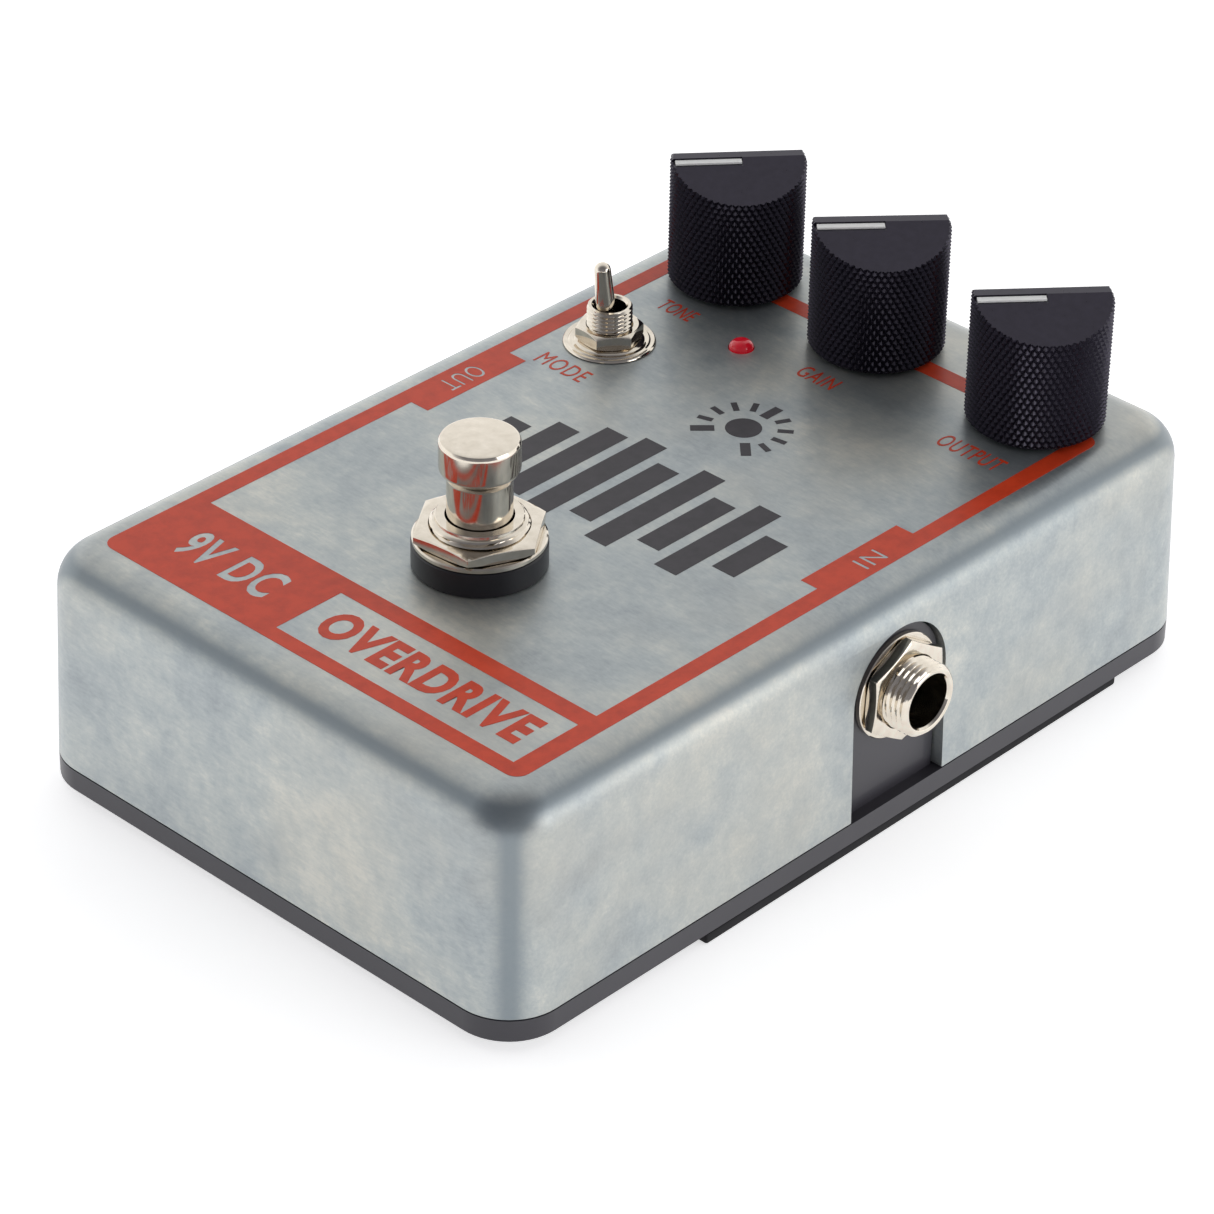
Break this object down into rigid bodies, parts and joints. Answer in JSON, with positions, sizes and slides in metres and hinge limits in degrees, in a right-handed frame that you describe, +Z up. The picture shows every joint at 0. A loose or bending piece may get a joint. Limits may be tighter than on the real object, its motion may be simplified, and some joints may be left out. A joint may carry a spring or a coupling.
{
  "type": "guitar effects pedal",
  "caption": "Stomp-style effects pedal: rounded bare-metal housing on a black base tray, with knurled knobs, a mode toggle, a foot switch, side sockets and a lamp.",
  "frame": {"origin": "middle of the footprint, on the surface that the pedal stands on", "axes": "+Z up; +Y to the back, where the knobs are; +X to the player's right, where the input socket is"},
  "size_m": [0.0894, 0.123, 0.0506],
  "materials": {
    "bare_zinc": "bare, mottled, clear-coated",
    "black_enamel": "satin black enamel",
    "rubber": "matt",
    "steel": "plain plated steel",
    "nickel": "bright nickel plate",
    "black_anodised": "knurled, black anodised",
    "white_paint": "paint filled",
    "black_nylon": "moulded",
    "black_plastic": "moulded",
    "blue_plastic": "moulded",
    "red_lens": "clear red epoxy",
    "circuit_board": "solder-masked laminate",
    "battery_skin": "printed wrapper",
    "red_wire": "insulated wire",
    "black_wire": "insulated wire",
    "grey_wire": "flat insulated cable",
    "orange_ink": "screen-printed ink",
    "dark_ink": "screen-printed ink"
  },
  "bodies": {
    "enclosure": {"housing": "bare_zinc", "base_tray": "black_enamel", "foot_pad": "rubber", "base_screw_1": "steel", "base_screw_2": "steel", "base_screw_3": "steel", "base_screw_4": "steel", "pot_body_tone": "steel", "pot_washer_tone": "steel", "pot_nut_tone": "nickel", "pot_body_gain": "steel", "pot_washer_gain": "steel", "pot_nut_gain": "nickel", "pot_body_output": "steel", "pot_washer_output": "steel", "pot_nut_output": "nickel", "toggle_bushing": "nickel", "toggle_body": "blue_plastic", "toggle_washer": "nickel", "toggle_nut": "nickel", "footswitch_spacer": "black_nylon", "footswitch_washer": "nickel", "footswitch_nut": "nickel", "footswitch_inner_nut": "nickel", "footswitch_bushing": "nickel", "footswitch_body": "blue_plastic", "footswitch_spring": "steel", "input_socket_sleeve": "nickel", "input_socket_body": "black_plastic", "input_socket_washer": "nickel", "input_socket_nut": "nickel", "output_socket_sleeve": "nickel", "output_socket_body": "black_plastic", "output_socket_washer": "nickel", "output_socket_nut": "nickel", "power_socket_body": "black_plastic", "power_socket_ring": "nickel", "power_socket_pin": "nickel", "indicator_lens": "red_lens", "circuit_board": "circuit_board", "battery": "battery_skin", "battery_snap": "black_plastic", "battery_lead_red": "red_wire", "battery_lead_black": "black_wire", "flat_cable": "grey_wire"},
    "mode_lever": {"toggle_lever": "nickel"},
    "switch_button": {"footswitch_button": "nickel"},
    "tone_control": {"pot_shaft_tone": "steel", "knob_tone": "black_anodised", "knob_pointer_tone": "white_paint", "knob_set_screw_tone": "steel"},
    "gain_control": {"pot_shaft_gain": "steel", "knob_gain": "black_anodised", "knob_pointer_gain": "white_paint", "knob_set_screw_gain": "steel"},
    "output_control": {"pot_shaft_output": "steel", "knob_output": "black_anodised", "knob_pointer_output": "white_paint", "knob_set_screw_output": "steel"}
  },
  "joints": [
    {"name": "tone_turn", "type": "hinge", "parent": "enclosure", "child": "tone_control", "pos_m": [-0.0251, 0.0462, 0.033], "axis": [0, 0, -1], "range_deg": [0, 300]},
    {"name": "gain_turn", "type": "hinge", "parent": "enclosure", "child": "gain_control", "pos_m": [-0.0009, 0.0462, 0.033], "axis": [0, 0, -1], "range_deg": [0, 300]},
    {"name": "output_turn", "type": "hinge", "parent": "enclosure", "child": "output_control", "pos_m": [0.0251, 0.0462, 0.033], "axis": [0, 0, -1], "range_deg": [0, 300]},
    {"name": "mode_flip", "type": "hinge", "parent": "enclosure", "child": "mode_lever", "pos_m": [-0.0252, 0.0227, 0.032], "axis": [-1, 0, 0], "range_deg": [0, 14]},
    {"name": "switch_press", "type": "slide", "parent": "enclosure", "child": "switch_button", "axis": [0, 0, -1], "range_m": [0, 0.0022], "stiffness_N_per_m": 3000, "springref_m": -0.001, "deforming": ["footswitch_spring"]}
  ]
}
